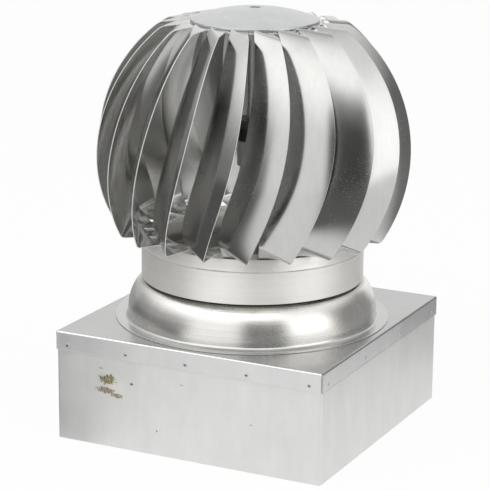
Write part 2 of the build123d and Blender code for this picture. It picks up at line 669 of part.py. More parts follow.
save(spindle(), "spindle")
save(hexagon(LOWER_NUT_FLATS, THREAD_RADIUS, LOWER_BEARING - LOWER_NUT_HEIGHT, LOWER_NUT_HEIGHT),
     "spindle_lower_nut")
save(dust_cap(), "dust_cap")
save(hub_flange(), "hub_flange")
save(hub_bolts(), "hub_bolts")
save(hub_nuts(), "hub_nuts")
save(top_plate(), "top_plate")
save(tube(WASHER_RADIUS, TOP_THREAD_RADIUS, PLATE_TOP, PLATE_TOP + WASHER_THICKNESS), "top_washer")
save(hexagon(TOP_NUT_FLATS, TOP_THREAD_RADIUS, PLATE_TOP + WASHER_THICKNESS, TOP_NUT_HEIGHT), "top_nut")
save(cap(), "cap")
save(skirt_band(), "skirt_band")
save(lower_ring(), "lower_ring")
save(tab_rivets(lower_rivet_place(), BLADE_SHEET + WHEEL_SHEET), "lower_tab_rivets")
save(tab_rivets(upper_rivet_place(), BLADE_SHEET + TOP_PLATE_SHEET), "upper_tab_rivets")

one_blade = blade()
for number in range(BLADE_COUNT):
    turned = Rot(0, 0, FIRST_BLADE_ANGLE + 360 * number / BLADE_COUNT) * one_blade
    save(turned, "blade_%02d" % (number + 1))
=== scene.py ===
"""Roof turbine ventilator: bladed wheel of bright sheet over a spun throat and a square base.

Metres.  +Z is up and the origin is the middle of the base's lower edge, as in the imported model.
"""

import json
import math

import bmesh
import bpy
import numpy as np
from mathutils import Matrix, Vector


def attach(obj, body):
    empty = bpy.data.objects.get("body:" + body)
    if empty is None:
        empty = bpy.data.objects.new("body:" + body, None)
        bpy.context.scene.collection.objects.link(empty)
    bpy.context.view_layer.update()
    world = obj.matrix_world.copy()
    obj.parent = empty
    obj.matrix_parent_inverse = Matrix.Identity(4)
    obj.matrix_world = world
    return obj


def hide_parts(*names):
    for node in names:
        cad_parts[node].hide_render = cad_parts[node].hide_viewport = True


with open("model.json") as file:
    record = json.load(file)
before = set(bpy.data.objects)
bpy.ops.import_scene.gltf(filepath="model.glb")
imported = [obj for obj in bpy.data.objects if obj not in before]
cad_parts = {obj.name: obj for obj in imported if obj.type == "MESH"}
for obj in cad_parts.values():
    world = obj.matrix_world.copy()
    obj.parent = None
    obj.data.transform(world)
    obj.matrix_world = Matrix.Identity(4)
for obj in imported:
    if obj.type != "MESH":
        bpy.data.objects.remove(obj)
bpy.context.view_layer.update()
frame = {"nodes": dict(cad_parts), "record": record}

MM = 0.001
TURN = 2 * math.pi

# ---- sizes of the ventilator, in millimetres, and azimuths in degrees from +X ------
LID_HALF, LID_TOP, LID_SHEET = 150.0, 116.0, 1.0
LID_SIDE = 2 * LID_HALF
FLANGE_DROP, LID_BEND, CORNER_SLIT = 20.0, 2.0, 0.45
THROAT_RADIUS = 117.0
SKIRT_HALF, SKIRT_CORNER, SKIRT_SHEET = 149.0, 2.5, 1.0
SKIRT_TUCK = 3.0                   # how far the skirt ends under the lid's top
NECK_RADIUS, NECK_TOP, COLLAR_SHEET = 105.0, 177.5, 0.8
BULGE_RADIUS, BULGE_TOP = 130.5, 158.5   # 2.5 below the solid's top, to show the neck's roll
FOOT_ROLL, NECK_ROLL, FOOT_FLANGE = 3.5, 3.0, 9.5
RIVET_INSET, RIVET_DROP = 14.0, 14.0
RIVET_ROWS = (5, 4, 5, 4)          # rivets on each side of the lid, from the -Y side on
BAND_RADIUS, BAND_BOTTOM, BAND_TOP, WHEEL_SHEET = 116.0, 159.5, 191.5, 0.8
RING_SHOULDER, RING_TOP, RING_INNER = 112.5, 205.0, 92.5
RING_LEG, RING_BEAD = 12.0, 0.9    # depth of its leg in the band, and how far its bead stands out
BAND_ROUNDING, RING_ROUNDING = 0.25, 0.3
CAP_RADIUS, CAP_BOTTOM, CAP_SHEET = 66.0, 425.7, 0.8
CAP_LIP, CAP_RISE, CAP_HOLE = 2.5, 12.0, 5.6
CAP_BEND = (1.6, 0.2, 1.4)         # how far the cap's bend reaches inwards, above the lip and down it
BLADES, BLADE_SHEET, FIRST_BLADE = 20, 0.8, -64.0
TIP_LEVEL, BLADE_RISE = 206.2, 217.5
CROWN = (162.43, 291.0, 97.6)      # outer edge: widest radius, its level, radius at the top
ROOT = (133.0, 280.0, 73.1)        # inner edge, in the same order
OUTER_AZIMUTH = (14.6, 17.0, 2.2)  # outer edge: azimuth at the top, swing back to the foot, its power
INNER_AZIMUTHS = (-15.0, -12.8, -8.4, -4.9, -2.6, -0.8, 0.2, -0.5)   # inner edge, from foot to top
TWIST_POWER = 6                    # power of the smooth curve through those azimuths
INNER_LIFT = (15.0, 5.0)           # how much higher the inner edge stands, at the foot and at the top
BLADE_BOW = 3.0                    # how far the middle of a blade bows outwards at mid height
LOWER_TAB, UPPER_TAB = (-9.0, 111.0, 97.0), (6.0, 68.5, 52.5)   # azimuth, fold radius, end radius
TAB_HALF = 6.0                     # half a tab's width, in degrees
HOUSING_BLACK = (301.0, 304.0)     # levels between which the housing turns black
SPINDLE_SHADE_LEVEL = 430.0                # the spindle's end is painted black above this, as the shade under the cap

# unevenness of hand-worked sheet: heights, where the lid's free sheet begins and ends, and seeds
BLADE_WAVE, DRUM_HEIGHT, DRUM_SAG, FLANGE_WAVE, SKIRT_WAVE = 0.012, 0.35, 0.15, 0.25, 0.5
FLANGE_PLAY = 0.1                  # the most that a flange stands out past its true plane
DRUM_START, DRUM_FADE, DRUM_EDGE = 145.0, 18.0, 14.0
BLADE_SEED, DRUM_SEED, FLANGE_SEED, SKIRT_SEED = 100, 5, 8, 21


# ---- surfaces ---------------------------------------------------------------------

def grid_faces(rows, cols, wrap_rows=False, wrap_cols=False):
    """Quads between neighbouring points of a grid; a wrapped side joins its last line to its first."""
    i = np.arange(rows if wrap_rows else rows - 1)[:, None]
    j = np.arange(cols if wrap_cols else cols - 1)[None, :]
    below, right = (i + 1) % rows, (j + 1) % cols
    corners = np.stack([i * cols + j, below * cols + j, below * cols + right, i * cols + right], -1)
    return corners.reshape(-1, 4)


def outward(points, faces):
    """Turns every quad round where the closed shape's signed volume is negative."""
    a, b, c, d = (points[faces[:, k]] for k in range(4))
    volume = np.einsum("ij,ij->", a, np.cross(b, c)) + np.einsum("ij,ij->", a, np.cross(c, d))
    return faces if volume > 0 else faces[:, ::-1]


def piece(name, points, faces, body, material, stands_for=(), poles=False, rim=None):
    """Puts whole arrays of points (mm) and quads into a smooth mesh that rides on a body; where the
    shape has poles, the points that meet there are made one.  rim is (first quad, finish) of a sheet's
    cut edges, which come last."""
    points = np.asarray(points, float).reshape(-1, 3)
    faces = outward(points, np.asarray(faces))
    mesh = bpy.data.meshes.new(name)
    mesh.vertices.add(len(points))
    mesh.vertices.foreach_set("co", (points * MM).ravel())
    mesh.loops.add(faces.size)
    mesh.loops.foreach_set("vertex_index", faces.ravel().astype(np.int32))
    mesh.polygons.add(len(faces))
    mesh.polygons.foreach_set("loop_start", np.arange(0, faces.size, 4, dtype=np.int32))
    mesh.polygons.foreach_set("use_smooth", np.ones(len(faces), bool))
    mesh.update(calc_edges=True)
    if rim:
        index = np.zeros(len(faces), np.int32)
        index[rim[0]:] = 1
        mesh.polygons.foreach_set("material_index", index)
    if poles:
        work = bmesh.new()
        work.from_mesh(mesh)
        bmesh.ops.remove_doubles(work, verts=work.verts, dist=1e-7)
        work.to_mesh(mesh)
        work.free()
    mesh.materials.append(material)
    if rim:
        mesh.materials.append(rim[1])
    made = bpy.data.objects.new(name, mesh)
    bpy.context.scene.collection.objects.link(made)
    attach(made, body)
    if stands_for:
        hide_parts(*stands_for)


def several(shapes):
    """Joins (points, faces) shapes into one."""
    starts = np.cumsum([0] + [len(points) for points, _ in shapes[:-1]])
    return (np.concatenate([points for points, _ in shapes]),
            np.concatenate([faces + start for (_, faces), start in zip(shapes, starts)]))


def rounded(corners, reach, steps=5):
    """Closed outline: each corner is a short parabola that starts and ends reach before it, with a
    holding point just outside, so that the flats stay flat."""
    corners = np.asarray(corners, float)
    ahead = np.roll(corners, -1, 0) - corners
    behind = np.roll(corners, 1, 0) - corners
    near = [np.minimum(reach, 0.35 * np.linalg.norm(way, axis=1))[:, None]
            / np.linalg.norm(way, axis=1)[:, None] * way for way in (behind, ahead)]
    t = np.linspace(0, 1, steps)[None, :, None]
    arc = ((1 - t) ** 2 * (corners + near[0])[:, None] + 2 * t * (1 - t) * corners[:, None]
           + t ** 2 * (corners + near[1])[:, None])
    hold = [(corners + 1.25 * side)[:, None] for side in near]
    return np.concatenate([hold[0], arc, hold[1]], 1).reshape(-1, 2)


def thickened(path, sheet):
    """Closed outline of a sheet: the path moved half a sheet to each side, with half-round ends."""
    path = np.asarray(path, float)
    along = np.gradient(path, axis=0)
    along /= np.linalg.norm(along, axis=1)[:, None]
    across = np.stack([-along[:, 1], along[:, 0]], 1)
    swing = np.linspace(-np.pi / 2, np.pi / 2, 7)[1:-1, None]
    far = path[-1] + sheet / 2 * (np.cos(swing) * along[-1] + np.sin(-swing) * -across[-1])
    near = path[0] + sheet / 2 * (-np.cos(swing) * along[0] + np.sin(-swing) * across[0])
    return np.concatenate([path - sheet / 2 * across, far, (path + sheet / 2 * across)[::-1], near])


def spun(outline, segments=288):
    """Turns a closed outline of (radius, z) points about the axis: x = r cos a, y = r sin a."""
    outline = np.asarray(outline, float)
    angle = np.linspace(0, TURN, segments, endpoint=False)[None, :]
    r, z = outline[:, :1], outline[:, 1:]
    points = np.stack([r * np.cos(angle), r * np.sin(angle), z + 0 * angle], -1)
    return points.reshape(-1, 3), grid_faces(len(outline), segments, True, True)


def sheet_from(middle, sheet, wrap=False, rim=5):
    """Closed sheet about a grid of middle points: the grid moved half a sheet along its own normal
    to either side, and a half-round rim that swings from one face to the other."""
    up = np.gradient(middle, axis=0)
    if wrap:
        over = np.gradient(np.concatenate([middle[:, -1:], middle, middle[:, :1]], 1), axis=1)[:, 1:-1]
    else:
        over = np.gradient(middle, axis=1)
    normal = np.cross(up, over)
    normal /= np.linalg.norm(normal, axis=2)[..., None]
    rows, cols = middle.shape[:2]
    swing = np.linspace(0, np.pi, rim + 2)[1:-1, None, None]
    front = (middle + sheet / 2 * normal).reshape(-1, 3)
    back = (middle - sheet / 2 * normal).reshape(-1, 3)
    face = grid_faces(rows, cols, False, wrap)
    faces = [face, face[:, ::-1] + rows * cols]
    index = np.arange(rows * cols).reshape(rows, cols)
    if wrap:
        loops = [index[0], index[-1][::-1]]
    else:
        loops = [np.concatenate([index[0], index[1:-1, -1], index[-1, ::-1], index[-2:0:-1, 0]])]
    points, start = [front, back], 2 * rows * cols
    flat, flat_normal = middle.reshape(-1, 3), normal.reshape(-1, 3)
    for loop in loops:
        line, lean = flat[loop], flat_normal[loop]
        tangent = np.roll(line, -1, 0) - np.roll(line, 1, 0)
        out = np.cross(tangent, lean)
        out /= np.linalg.norm(out, axis=1)[:, None]
        arcs = line + sheet / 2 * (np.cos(swing) * lean + np.sin(swing) * out)
        count = arcs.shape[0] * len(loop)
        between_faces = start + np.arange(count).reshape(-1, len(loop))
        rings = np.concatenate([loop[None], between_faces, (loop + rows * cols)[None]])
        points.append(arcs.reshape(-1, 3))
        start += count
        a, b = rings[:-1], rings[1:]
        faces.append(np.stack([a, b, np.roll(b, -1, 1), np.roll(a, -1, 1)], -1).reshape(-1, 4))
    return np.concatenate(points), np.concatenate(faces)


def turned(points, degrees):
    """Points turned about the axis."""
    angle = math.radians(degrees)
    c, s = math.cos(angle), math.sin(angle)
    return points @ np.array([[c, s, 0], [-s, c, 0], [0, 0, 1]])


def ripple(u, v, seed, waves=7, finest=3.0):
    """Gentle waviness of a sheet: a sum of sines of seeded directions over two parameters."""
    dice = np.random.default_rng(seed)
    ways = dice.uniform(-finest, finest, (waves, 2))
    phases = dice.uniform(0, TURN, waves)
    return sum(np.sin(TURN * (w[0] * u + w[1] * v) + p) / (1 + np.hypot(*w)) for w, p in zip(ways, phases))


# ---- finishes ---------------------------------------------------------------------

def adder(tree):
    """Helper that adds a node to a tree and sets or links what it is given."""
    def add(kind, **sockets):
        """Adds one node; a name that isn't one of its sockets is set as its property."""
        node = tree.nodes.new("ShaderNode" + kind)
        for key, value in sockets.items():
            place = key.replace("_", " ")
            if place in node.inputs:
                if isinstance(value, bpy.types.NodeSocket):
                    tree.links.new(value, node.inputs[place])
                else:
                    node.inputs[place].default_value = value
            else:
                setattr(node, key, value)
        return node
    return add


def opened(material):
    """A material's node tree and shader, the helper that adds a node, and places on the object."""
    tree = material.node_tree
    add = adder(tree)
    return tree, tree.nodes["Principled BSDF"], add, add("TexCoord").outputs["Object"]


def new_finish(name):
    """A new material, opened."""
    material = bpy.data.materials.new(name)
    material.use_nodes = True
    return (material, *opened(material))


def scaled(add, where, scale, turn=(0, 0, 0)):
    """Places stretched along x, y and z and turned."""
    mapping = add("Mapping", Vector=where)
    mapping.inputs["Scale"].default_value = scale
    mapping.inputs["Rotation"].default_value = turn
    return mapping.outputs["Vector"]


def ramp(add, value, stops):
    """Colour ramp through (place, colour or grey) stops."""
    node = add("ValToRGB", Fac=value)
    elements = node.color_ramp.elements
    for _ in range(len(stops) - 2):
        elements.new(0.5)
    for element, (place, colour) in zip(elements, stops):
        element.position = place
        grey = not hasattr(colour, "__len__")
        element.color = (colour, colour, colour, 1) if grey else (*colour, 1)
    return node.outputs["Color"]


def maths(tree, operation, a, b):
    """Arithmetic on two values, each a number or a socket."""
    node = tree.nodes.new("ShaderNodeMath")
    node.operation = operation
    for socket, value in zip(node.inputs, (a, b)):
        if isinstance(value, bpy.types.NodeSocket):
            tree.links.new(value, socket)
        else:
            socket.default_value = value
    return node.outputs[0]


def maps(tree, value, start, end, low=0.0, high=1.0):
    """Smooth step of a value from low at start to high at end."""
    node = tree.nodes.new("ShaderNodeMapRange")
    node.interpolation_type = "SMOOTHSTEP"
    tree.links.new(value, node.inputs["Value"])
    for name, number in (("From Min", start), ("From Max", end), ("To Min", low), ("To Max", high)):
        node.inputs[name].default_value = number
    return node.outputs["Result"]


def levelled(tree, way, unit=True):
    """Level part of a vector, as a unit vector if wanted."""
    flat = tree.nodes.new("ShaderNodeVectorMath")
    flat.operation = "MULTIPLY"
    tree.links.new(way, flat.inputs[0])
    flat.inputs[1].default_value = (1, 1, 0)
    if not unit:
        return flat.outputs[0]
    one = tree.nodes.new("ShaderNodeVectorMath")
    one.operation = "NORMALIZE"
    tree.links.new(flat.outputs[0], one.inputs[0])
    return one.outputs[0]


def mixed(tree, mode, share, a, b):
    """Colour mix in a blend mode."""
    node = tree.nodes.new("ShaderNodeMix")
    node.data_type = "RGBA"
    node.blend_type = mode
    sockets = (node.inputs[0], node.inputs[6], node.inputs[7])
    for socket, value in zip(sockets, (share, a, b)):
        if isinstance(value, bpy.types.NodeSocket):
            tree.links.new(value, socket)
        elif hasattr(value, "__len__"):
            socket.default_value = (*value, 1) if len(value) == 3 else value
        else:
            socket.default_value = value
    return node.outputs[2]


def bright_sheet(name, colour, rough, grain, smudge=0.08, bump=0.05, speckle=0.0, drawn=0.35, cloudy=0.5,
                 metallic=1.0, flecks=0.0):
    """Rolled sheet: fine drawn lines along grain, cloudy handling marks, small specks and dull flecks."""
    material, tree, shader, add, where = new_finish(name)
    clouds = add("TexNoise", Vector=scaled(add, where, (9, 9, 6)), Scale=3.0, Detail=6.0, Roughness=0.6)
    lines = add("TexNoise", Vector=scaled(add, where, grain), Scale=1.0, Detail=3.0, Roughness=0.55)
    specks = add("TexNoise", Vector=where, Scale=900.0, Detail=2.0, Roughness=0.7)
    spots = add("TexVoronoi", Vector=where, Scale=260.0)
    tone = ramp(add, clouds.outputs["Fac"], [(0.3, 0.82), (0.7, 1.0)])
    base = mixed(tree, "MULTIPLY", cloudy, colour, tone)
    base = mixed(tree, "MULTIPLY", drawn, base, ramp(add, lines.outputs["Fac"], [(0.35, 0.86), (0.65, 1.0)]))
    dots = ramp(add, spots.outputs["Distance"], [(0.06, 0.45), (0.16, 1.0)])
    base = mixed(tree, "MULTIPLY", speckle, base, dots)
    tree.links.new(base, shader.inputs["Base Color"])
    shader.inputs["Metallic"].default_value = metallic
    roughness = maths(tree, "MULTIPLY_ADD", clouds.outputs["Fac"], smudge * 2)
    roughness.node.inputs[2].default_value = rough - smudge
    fine = maths(tree, "MULTIPLY_ADD", specks.outputs["Fac"], 0.06)
    tree.links.new(roughness, fine.node.inputs[2])
    if flecks:
        dust = add("TexVoronoi", Vector=where, Scale=620.0)
        there = maths(tree, "MULTIPLY", maps(tree, dust.outputs["Distance"], 0.1, 0.22, flecks, 0.0),
                      maps(tree, clouds.outputs["Fac"], 0.42, 0.62))
        fine = maths(tree, "ADD", fine, there)
    tree.links.new(fine, shader.inputs["Roughness"])
    height = add("Bump", Height=lines.outputs["Fac"], Strength=bump, Distance=0.001)
    grainy = add("Bump", Height=specks.outputs["Fac"], Strength=bump * 0.7, Distance=0.0004,
                 Normal=height.outputs["Normal"])
    tree.links.new(grainy.outputs["Normal"], shader.inputs["Normal"])
    return material


def plain_metal(name, colour, rough, spread=0.1, metallic=1.0, grain=200.0):
    """Turned, plated or painted metal: mottled colour and an uneven sheen."""
    material, tree, shader, add, where = new_finish(name)
    noise = add("TexNoise", Vector=where, Scale=grain, Detail=5.0, Roughness=0.6)
    tone = ramp(add, noise.outputs["Fac"], [(0.3, 0.75), (0.7, 1.0)])
    tree.links.new(mixed(tree, "MULTIPLY", 0.6, colour, tone), shader.inputs["Base Color"])
    shader.inputs["Metallic"].default_value = metallic
    uneven = maths(tree, "MULTIPLY_ADD", noise.outputs["Fac"], spread)
    uneven.node.inputs[2].default_value = rough - spread / 2
    tree.links.new(uneven, shader.inputs["Roughness"])
    bump = add("Bump", Height=noise.outputs["Fac"], Strength=0.15, Distance=0.0003)
    tree.links.new(bump.outputs["Normal"], shader.inputs["Normal"])
    return material


def blotch(tree, add, where, centre, size, lean=0.0, ragged=0.5):
    """1 inside a ragged patch: centre and half sizes (x, y, z) in millimetres, leaning in the x-z plane."""
    shift = add("VectorMath", operation="SUBTRACT")
    tree.links.new(where, shift.inputs[0])
    shift.inputs[1].default_value = [c * MM for c in centre]
    own = scaled(add, shift.outputs[0], [1 / (h * MM) for h in size], (0, math.radians(lean), 0))
    edge = add("TexNoise", Vector=where, Scale=420.0, Detail=3.0, Roughness=0.65)
    far = add("VectorMath", operation="LENGTH")
    tree.links.new(own, far.inputs[0])
    rough_edge = maths(tree, "MULTIPLY_ADD", edge.outputs["Fac"], 4 * ragged)
    rough_edge.node.inputs[2].default_value = -2 * ragged
    return maps(tree, maths(tree, "ADD", far.outputs["Value"], rough_edge), 1.1, 0.75)


def source_of(shader, name):
    """What is linked to one of the shader's sockets."""
    return shader.inputs[name].links[0].from_socket


def soiled(material):
    """Moss and dried dirt in two patches on the -Y side, a pale wiped place beside them and a few specks."""
    tree, shader, add, where = opened(material)
    base = source_of(shader, "Base Color")
    face = -SKIRT_HALF
    grime = add("TexNoise", Vector=where, Scale=700.0, Detail=3.0)
    moss = ramp(add, grime.outputs["Fac"], [(0.35, (0.10, 0.09, 0.035)), (0.6, (0.42, 0.38, 0.22))])
    dirt = ramp(add, grime.outputs["Fac"], [(0.35, (0.16, 0.10, 0.06)), (0.6, (0.45, 0.36, 0.26))])
    for centre, size, lean, colour, ragged, share in (
            ((-80, face, 66), (11, 20, 9), 0, (0.90, 0.82, 0.78), 0.7, 0.4),
            ((-90, face, 72.5), (10, 20, 5.5), 28, moss, 0.6, 0.95),
            ((-93, face, 60.5), (12, 20, 3.2), 16, dirt, 0.6, 0.9),
            ((-80, face, 56.5), (7, 20, 2.6), 24, moss, 0.6, 0.85),
            ((-62.1, face, 71.6), (2.0, 20, 1.4), 0, (0.16, 0.15, 0.12), 0.3, 0.95),
            ((-97.5, face, 83.5), (2.6, 20, 0.9), 0, (0.35, 0.34, 0.28), 0.4, 0.8),
            ((-32.9, face, 26.2), (0.9, 20, 1.1), 0, (0.25, 0.24, 0.22), 0.2, 0.9),
            ((-4.3, face, 79.8), (2.8, 20, 0.6), 20, (0.45, 0.45, 0.42), 0.3, 0.8),
            ((72.9, face, 50.6), (1.4, 20, 0.9), 0, (0.45, 0.45, 0.43), 0.3, 0.8)):
        there = blotch(tree, add, where, centre, size, lean, ragged)
        base = mixed(tree, "MIX", maths(tree, "MULTIPLY", there, share), base, colour)
    tree.links.new(base, shader.inputs["Base Color"])


def darkened_above(material, low, high, tone):
    """Tone of the metal multiplied above a level, with a soft change between two levels."""
    tree, shader, add, where = opened(material)
    split = add("SeparateXYZ", Vector=where)
    there = maps(tree, split.outputs["Z"], low * MM, high * MM)
    base = mixed(tree, "MULTIPLY", there, source_of(shader, "Base Color"), tone)
    tree.links.new(base, shader.inputs["Base Color"])


def blended(material, low, high, tone, rough):
    """Another tone and roughness of the sheet below a level, with a soft change between two levels."""
    tree, shader, add, where = opened(material)
    split = add("SeparateXYZ", Vector=where)
    above = maps(tree, split.outputs["Z"], low * MM, high * MM)
    cloud = add("TexNoise", Vector=where, Scale=30.0, Detail=6.0, Roughness=0.6)
    mottled = mixed(tree, "MULTIPLY", 0.5, tone, ramp(add, cloud.outputs["Fac"], [(0.35, 0.82), (0.65, 1.0)]))
    uneven = ramp(add, cloud.outputs["Fac"], [(0.3, rough - 0.05), (0.7, rough + 0.05)])
    for name, below in (("Base Color", mottled), ("Roughness", uneven)):
        tree.links.new(mixed(tree, "MIX", above, below, source_of(shader, name)), shader.inputs[name])


def painted_fold_highlight(material, tone, rough, inwards=(0.9, 1.6), down=(1.1, 1.7)):
    """Painted highlight along the lid's front fold: a strip that fades out between two distances (mm) inwards
    from the -Y side and between two distances down from the top."""
    tree, shader, add, where = opened(material)
    split = add("SeparateXYZ", Vector=where)
    front = maps(tree, split.outputs["Y"], *(-(LID_HALF - far) * MM for far in inwards), 1.0, 0.0)
    high = maps(tree, split.outputs["Z"], *((LID_TOP - far) * MM for far in reversed(down)))
    there = maths(tree, "MULTIPLY", front, high)
    for name, fold_highlight in (("Base Color", tone), ("Roughness", (rough, rough, rough))):
        tree.links.new(mixed(tree, "MIX", there, source_of(shader, name), fold_highlight), shader.inputs[name])


def shaded_spindle_end(material, level, bright=(0.8, 1.6)):
    """Turned steel whose threaded end above a level is painted black, as the shade under the cap, round a
    painted highlight at the centre that fades out between two radii (mm)."""
    tree, shader, add, where = opened(material)
    split = add("SeparateXYZ", Vector=where)
    off = add("VectorMath", operation="LENGTH")
    tree.links.new(levelled(tree, where, False), off.inputs[0])
    painted_shade = maths(tree, "MULTIPLY", maps(tree, split.outputs["Z"], (level - 1) * MM, level * MM),
                maps(tree, off.outputs["Value"], *(radius * MM for radius in bright)))
    base = mixed(tree, "MIX", painted_shade, source_of(shader, "Base Color"), (0.012, 0.011, 0.010))
    tree.links.new(base, shader.inputs["Base Color"])


blade_steel = bright_sheet("bright_rolled_blades", (0.592, 0.59, 0.577), 0.14, (220, 220, 6), smudge=0.03,
                           bump=0.006, speckle=0.2, drawn=0.2, flecks=0.3)
# the sheets' cut edges in a near-white, mostly matt tone: a painted highlight along them
cut_edge_highlight = plain_metal("sheared_edges_painted_highlight", (0.97, 0.97, 0.96), 0.45, metallic=0.3)

spun_steel = bright_sheet("spun_throat_steel", (0.87, 0.86, 0.825), 0.23, (3, 3, 700), bump=0.10,
                          speckle=0.1, drawn=0.5, cloudy=0.6, metallic=0.9)
blended(spun_steel, LID_TOP + 0.9, LID_TOP + 3.5, (0.52, 0.52, 0.515), 0.24)
# painted shade: the collar's top is darkened where the band overhangs it
darkened_above(spun_steel, BULGE_TOP - 5.0, BULGE_TOP - 0.5, (0.28, 0.28, 0.27))

band_steel = bright_sheet("band_steel", (0.93, 0.92, 0.885), 0.42, (3, 3, 260), smudge=0.06, bump=0.04,
                          drawn=0.3, cloudy=0.4, metallic=0.6)

lid_steel = bright_sheet("lid_sheet_steel", (0.48, 0.48, 0.475), 0.22, (14, 14, 60), smudge=0.10,
                         speckle=0.15, drawn=0.2, cloudy=0.6, metallic=0.85)
blended(lid_steel, LID_TOP - 2.2, LID_TOP - 1.2, (0.77, 0.77, 0.765), 0.46)
# painted highlight on the lid's front fold, lighter and rougher than the sheet
painted_fold_highlight(lid_steel, (0.98, 0.98, 0.97), 0.36)

skirt_steel = bright_sheet("skirt_sheet_steel", (0.80, 0.80, 0.785), 0.48, (90, 90, 12), speckle=0.05,
                           drawn=0.2, metallic=0.75)
soiled(skirt_steel)

cap_steel = bright_sheet("satin_cap", (0.66, 0.665, 0.67), 0.42, (120, 120, 120), smudge=0.05, bump=0.08)
rivet_metal = plain_metal("rivet_alloy", (0.62, 0.62, 0.60), 0.35, spread=0.15)
pin_steel = plain_metal("sheared_pins", (0.06, 0.06, 0.058), 0.5, spread=0.15)
zinc = plain_metal("zinc_plated_parts", (0.58, 0.58, 0.56), 0.38, spread=0.16)
fastener = plain_metal("fastener_steel", (0.52, 0.52, 0.52), 0.32, spread=0.16)
bearing = plain_metal("ground_bearing_steel", (0.66, 0.66, 0.67), 0.16, spread=0.08, grain=600.0)
polymer = plain_metal("cage_polymer", (0.30, 0.22, 0.12), 0.5, metallic=0.0, grain=400.0)
enamel = plain_metal("black_enamel", (0.018, 0.018, 0.019), 0.38, spread=0.2, metallic=0.0, grain=320.0)

# the housing's enamel is black at its open end only, and grey below
housing_enamel = plain_metal("housing_enamel", (0.40, 0.40, 0.39), 0.36, spread=0.2, metallic=0.5,
                             grain=320.0)
darkened_above(housing_enamel, *HOUSING_BLACK, (0.04, 0.04, 0.042))

spindle_steel = plain_metal("turned_spindle", (0.55, 0.55, 0.54), 0.34, spread=0.14)
# painted shade under the cap on the spindle's end, round a painted highlight at its centre
shaded_spindle_end(spindle_steel, SPINDLE_SHADE_LEVEL)

FINISHES = {"base_sheet": skirt_steel, "spun_sheet": spun_steel, "wheel_sheet": band_steel,
            "blade_sheet": blade_steel, "cap_sheet": cap_steel, "rivet_alloy": rivet_metal,
            "zinc_plated_steel": zinc, "fastener_steel": fastener, "black_enamel": enamel,
            "bearing_steel": bearing, "cage_polymer": polymer}
OWN_FINISHES = {"spindle": spindle_steel, "bearing_housing": housing_enamel}
for part in frame["record"]["subparts"]:
    slots = frame["nodes"][part["node"]].data.materials
    slots.clear()
    slots.append(OWN_FINISHES.get(part["node"], FINISHES[part["material_slot"]]))


# ---- blades -----------------------------------------------------------------------

def edge_radius(z, widest, level, top_radius, top):
    """Radius of an ellipse about the axis, widest at its level and top_radius at the level top."""
    return widest * np.sqrt(1 - (1 - (top_radius / widest) ** 2) * ((z - level) / (top - level)) ** 2)


def at(radius, degrees, z):
    """Points at a radius, azimuth and level."""
    angle = np.radians(degrees)
    return np.stack([radius * np.cos(angle), radius * np.sin(angle), z + 0 * angle], -1)


def blade_strip(share, across):
    """Rows of a blade's bent strip: at each share of the rise, a parabola from the inner edge to the
    outer one.  Both edges follow ellipses about the axis, and their azimuths give the twist."""
    z = TIP_LEVEL + share * BLADE_RISE
    top = TIP_LEVEL + BLADE_RISE
    end, swing, power = OUTER_AZIMUTH
    outer = at(edge_radius(z, *CROWN, top), end - swing * (1 - share) ** power, z)
    lift = z + INNER_LIFT[0] - (INNER_LIFT[0] - INNER_LIFT[1]) * share
    stations = np.linspace(0, 1, len(INNER_AZIMUTHS))
    twist = np.polyval(np.polyfit(stations, INNER_AZIMUTHS, TWIST_POWER), share)
    inner = at(edge_radius(lift, *ROOT, top + INNER_LIFT[1]), twist, lift)
    skin = np.cross(np.gradient(outer + inner, axis=0), outer - inner)
    skin *= -np.sign(np.sum(skin * outer * (1, 1, 0), 1))[:, None] / np.linalg.norm(skin, axis=1)[:, None]
    bow = (-BLADE_BOW * np.sin(np.pi * share))[:, None] * skin
    t = across[None, :, None]
    line = inner[:, None] * (1 - t) + outer[:, None] * t + 4 * t * (1 - t) * bow[:, None]
    return line + BLADE_SHEET / 2 * skin[:, None]


def tab_row(radius, centre, level, across):
    """Row of a flat tab, on an arc's chord about its centre azimuth."""
    ends = at(np.full(2, radius), np.array([centre - TAB_HALF, centre + TAB_HALF]), level)
    t = across[:, None]
    return ends[0] * (1 - t) + ends[1] * t


def between(a, b, count, ends=(0.0, 1.0)):
    """Straight rows from row a to row b."""
    t = np.linspace(*ends, count)[:, None, None]
    return a[None] * (1 - t) + b[None] * t


def fold(before, corner, after, steps=6):
    """Rows round a fold: a parabola from before to after, drawn towards the corner."""
    t = np.linspace(0, 1, steps)[1:-1, None, None]
    return (1 - t) ** 2 * before[None] + 2 * t * (1 - t) * corner[None] + t ** 2 * after[None]


def wave(rows, share, across, seed):
    """Waviness of a hand-bent blade along its own normal, fading out at both folds."""
    normal = np.cross(np.gradient(rows, axis=0), np.gradient(rows, axis=1))
    normal /= np.linalg.norm(normal, axis=2)[..., None]
    free = np.sin(np.pi * share[:, None]) * (1 - across[None] ** 4)
    size = BLADE_WAVE * ripple(share[:, None] * 1.6, across[None] * 0.5, seed) * free
    return size[..., None] * normal


